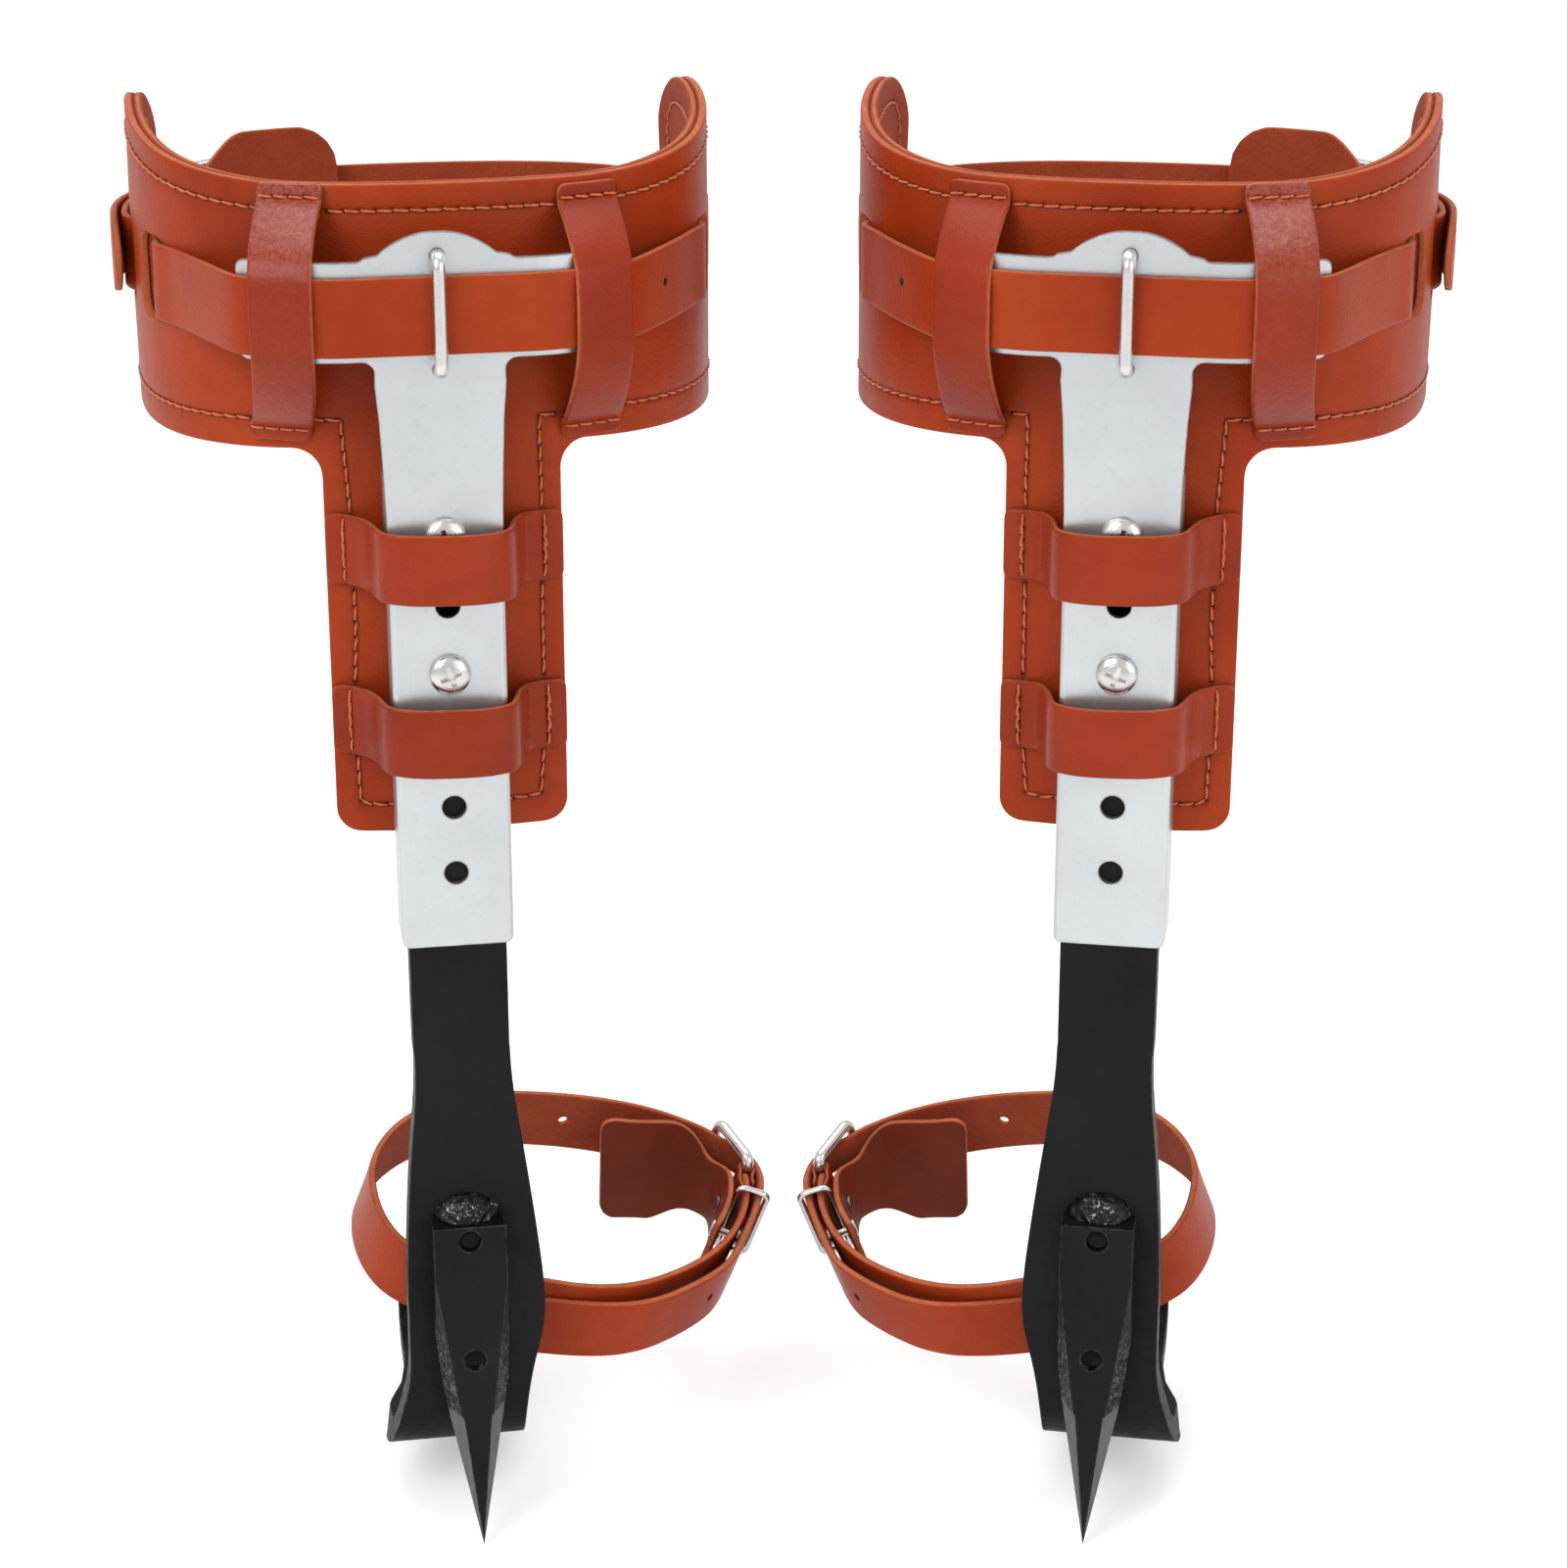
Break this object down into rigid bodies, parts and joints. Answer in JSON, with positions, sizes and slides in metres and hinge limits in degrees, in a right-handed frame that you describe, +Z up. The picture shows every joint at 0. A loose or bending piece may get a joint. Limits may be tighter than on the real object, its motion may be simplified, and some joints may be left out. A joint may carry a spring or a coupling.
{
  "type": "pole climbing spurs",
  "caption": "Pair of pole climbers: leather calf cuff on a height-adjustable plated sleeve over a black forged shank with stirrup, gaff point and buckled foot strap.",
  "frame": {"origin": "midway between the two climbers, centred front to back, at the level of the gaff points", "axes": "+Z up along the shanks, +X from the wearer-facing left climber to the right one as seen from the gaff side, +Y from the gaff side towards the leg"},
  "size_m": [0.4666, 0.2244, 0.4857],
  "materials": {
    "leather": "waxed grain, satin",
    "leather_inner": "suede side, matte",
    "leather_loops": "glazed, darker",
    "sleeve_steel": "fine polished plating",
    "chrome": "bright nickel",
    "black_coat": "black powder coat, fine texture",
    "gaff_steel": "black, ground bright along the edges",
    "weld": "glossy black over weld bead",
    "black_oxide": "black oxide"
  },
  "bodies": {
    "left_shank": {"left_shank": "black_coat", "left_gaff": "gaff_steel", "left_gaff_weld": "weld", "left_gaff_screws": "black_oxide", "left_foot_staple": "black_oxide"},
    "left_sleeve": {"left_sleeve_tube": "sleeve_steel", "left_calf_plate": "sleeve_steel", "left_calf_staple": "chrome", "left_nut_strip": "black_oxide", "left_calf_pad": "leather", "left_pad_lining": "leather_inner", "left_pad_keepers": "leather_loops", "left_pad_loops": "leather_loops", "left_calf_strap": "leather", "left_calf_guard": "leather_inner", "left_calf_rivets": "chrome", "left_calf_keeper_ring": "chrome"},
    "left_clamp_screw_upper": {"left_clamp_screw_upper": "chrome"},
    "left_clamp_screw_lower": {"left_clamp_screw_lower": "chrome"},
    "left_calf_buckle_frame": {"left_calf_buckle_frame": "chrome"},
    "left_calf_buckle_prong": {"left_calf_buckle_prong": "chrome"},
    "left_foot_strap": {"left_foot_strap": "leather", "left_foot_guard": "leather_inner", "left_foot_rivets": "chrome", "left_foot_keeper_ring": "chrome"},
    "left_foot_buckle_frame": {"left_foot_buckle_frame": "chrome"},
    "left_foot_buckle_prong": {"left_foot_buckle_prong": "chrome"},
    "right_shank": {"right_shank": "black_coat", "right_gaff": "gaff_steel", "right_gaff_weld": "weld", "right_gaff_screws": "black_oxide", "right_foot_staple": "black_oxide"},
    "right_sleeve": {"right_sleeve_tube": "sleeve_steel", "right_calf_plate": "sleeve_steel", "right_calf_staple": "chrome", "right_nut_strip": "black_oxide", "right_calf_pad": "leather", "right_pad_lining": "leather_inner", "right_pad_keepers": "leather_loops", "right_pad_loops": "leather_loops", "right_calf_strap": "leather", "right_calf_guard": "leather_inner", "right_calf_rivets": "chrome", "right_calf_keeper_ring": "chrome"},
    "right_clamp_screw_upper": {"right_clamp_screw_upper": "chrome"},
    "right_clamp_screw_lower": {"right_clamp_screw_lower": "chrome"},
    "right_calf_buckle_frame": {"right_calf_buckle_frame": "chrome"},
    "right_calf_buckle_prong": {"right_calf_buckle_prong": "chrome"},
    "right_foot_strap": {"right_foot_strap": "leather", "right_foot_guard": "leather_inner", "right_foot_rivets": "chrome", "right_foot_keeper_ring": "chrome"},
    "right_foot_buckle_frame": {"right_foot_buckle_frame": "chrome"},
    "right_foot_buckle_prong": {"right_foot_buckle_prong": "chrome"}
  },
  "joints": [
    {"name": "left_height_adjust", "type": "slide", "parent": "left_shank", "child": "left_sleeve", "axis": [0, 0, 1], "range_m": [0, 0.07035]},
    {"name": "left_clamp_screw_upper_turn", "type": "hinge", "parent": "left_sleeve", "child": "left_clamp_screw_upper", "pos_m": [-0.11, -0.08558, 0.3607], "axis": [0.1736, -0.9848, 0], "continuous": true},
    {"name": "left_clamp_screw_lower_turn", "type": "hinge", "parent": "left_sleeve", "child": "left_clamp_screw_lower", "pos_m": [-0.11, -0.08558, 0.3138], "axis": [0.1736, -0.9848, 0], "continuous": true},
    {"name": "left_calf_buckle_frame_tilt", "type": "hinge", "parent": "left_sleeve", "child": "left_calf_buckle_frame", "pos_m": [-0.21714, 0.07203, 0.4346], "axis": [0, 0, 1], "range_deg": [0, 12]},
    {"name": "left_calf_buckle_prong_lift", "type": "hinge", "parent": "left_calf_buckle_frame", "child": "left_calf_buckle_prong", "pos_m": [-0.21714, 0.07203, 0.4346], "axis": [0, 0, 1], "range_deg": [0, 15]},
    {"name": "left_foot_strap_swing", "type": "hinge", "parent": "left_shank", "child": "left_foot_strap", "pos_m": [-0.11365, -0.0649, 0.074], "axis": [0.9848, 0.1736, 0], "range_deg": [-12, 4]},
    {"name": "left_foot_buckle_frame_tilt", "type": "hinge", "parent": "left_foot_strap", "child": "left_foot_buckle_frame", "pos_m": [-0.01805, 0.03982, 0.06275], "axis": [-0.3231, 0.2058, -0.9237], "range_deg": [0, 12]},
    {"name": "left_foot_buckle_prong_lift", "type": "hinge", "parent": "left_foot_buckle_frame", "child": "left_foot_buckle_prong", "pos_m": [-0.01805, 0.03982, 0.06275], "axis": [-0.3231, 0.2058, -0.9237], "range_deg": [0, 15]},
    {"name": "right_height_adjust", "type": "slide", "parent": "right_shank", "child": "right_sleeve", "axis": [0, 0, 1], "range_m": [0, 0.07035]},
    {"name": "right_clamp_screw_upper_turn", "type": "hinge", "parent": "right_sleeve", "child": "right_clamp_screw_upper", "pos_m": [0.11, -0.08558, 0.3607], "axis": [0.1736, 0.9848, 0], "continuous": true},
    {"name": "right_clamp_screw_lower_turn", "type": "hinge", "parent": "right_sleeve", "child": "right_clamp_screw_lower", "pos_m": [0.11, -0.08558, 0.3138], "axis": [0.1736, 0.9848, 0], "continuous": true},
    {"name": "right_calf_buckle_frame_tilt", "type": "hinge", "parent": "right_sleeve", "child": "right_calf_buckle_frame", "pos_m": [0.21714, 0.07203, 0.4346], "axis": [0, 0, -1], "range_deg": [0, 12]},
    {"name": "right_calf_buckle_prong_lift", "type": "hinge", "parent": "right_calf_buckle_frame", "child": "right_calf_buckle_prong", "pos_m": [0.21714, 0.07203, 0.4346], "axis": [0, 0, -1], "range_deg": [0, 15]},
    {"name": "right_foot_strap_swing", "type": "hinge", "parent": "right_shank", "child": "right_foot_strap", "pos_m": [0.11365, -0.0649, 0.074], "axis": [0.9848, -0.1736, 0], "range_deg": [-12, 4]},
    {"name": "right_foot_buckle_frame_tilt", "type": "hinge", "parent": "right_foot_strap", "child": "right_foot_buckle_frame", "pos_m": [0.01805, 0.03982, 0.06275], "axis": [-0.3231, -0.2058, 0.9237], "range_deg": [0, 12]},
    {"name": "right_foot_buckle_prong_lift", "type": "hinge", "parent": "right_foot_buckle_frame", "child": "right_foot_buckle_prong", "pos_m": [0.01805, 0.03982, 0.06275], "axis": [-0.3231, -0.2058, 0.9237], "range_deg": [0, 15]},
    {"name": "pair_spacing", "type": "slide", "parent": "left_shank", "child": "right_shank", "axis": [1, 0, 0], "range_m": [0, 0.15]}
  ]
}
